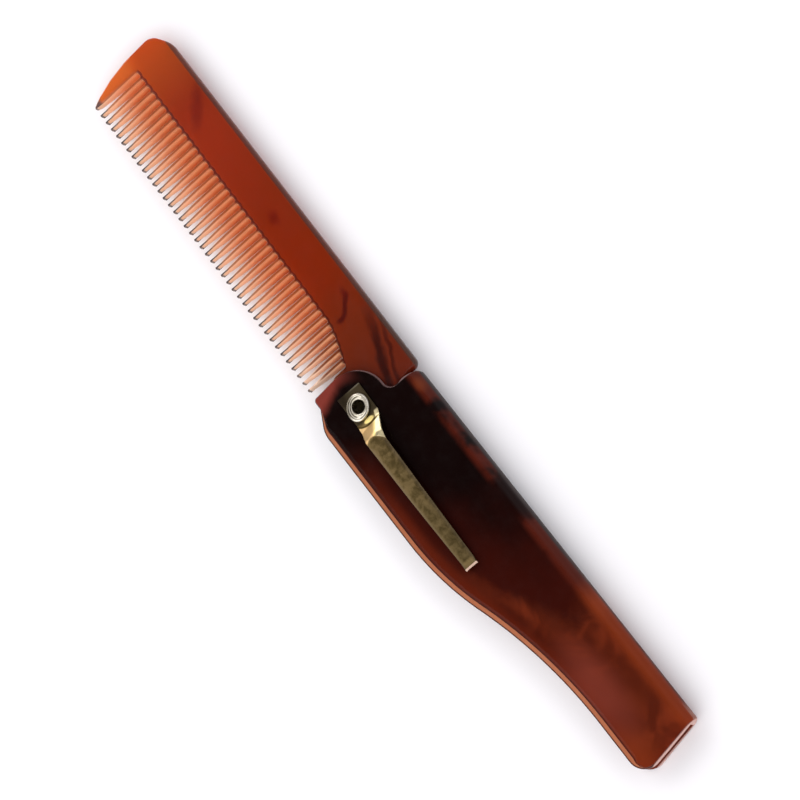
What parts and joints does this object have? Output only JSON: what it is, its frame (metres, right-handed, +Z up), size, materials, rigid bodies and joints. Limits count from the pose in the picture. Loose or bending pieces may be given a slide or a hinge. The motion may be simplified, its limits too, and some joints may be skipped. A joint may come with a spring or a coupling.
{
  "type": "folding pocket comb",
  "caption": "Fine-toothed comb that turns on a hollow rivet and folds into a flat slotted case, which has a spring clip on its front.",
  "frame": {"origin": "centre of the open comb's footprint, on the surface that the case's back lies on", "axes": "+X from the comb's tip to the case's far end, +Y towards the comb's back and the case's closed side, +Z up through the clip"},
  "size_m": [0.1842, 0.0246, 0.0089],
  "materials": {
    "case": "polished dark tortoiseshell acetate, near black at the rivet and red-brown at the far end",
    "comb": "polished translucent red-brown tortoiseshell acetate with a few dark clouds",
    "clip": "tarnished olive brass, bright at the bend",
    "eyelet": "worn nickel plate"
  },
  "bodies": {
    "handle": {"case": "case", "clip": "clip", "eyelet": "eyelet"},
    "comb": {"comb": "comb"}
  },
  "joints": [
    {"name": "comb_fold", "type": "hinge", "parent": "handle", "child": "comb", "pos_m": [0.00035, -0.00313, 0.003], "axis": [0, 0, 1], "range_deg": [0, 184]}
  ]
}
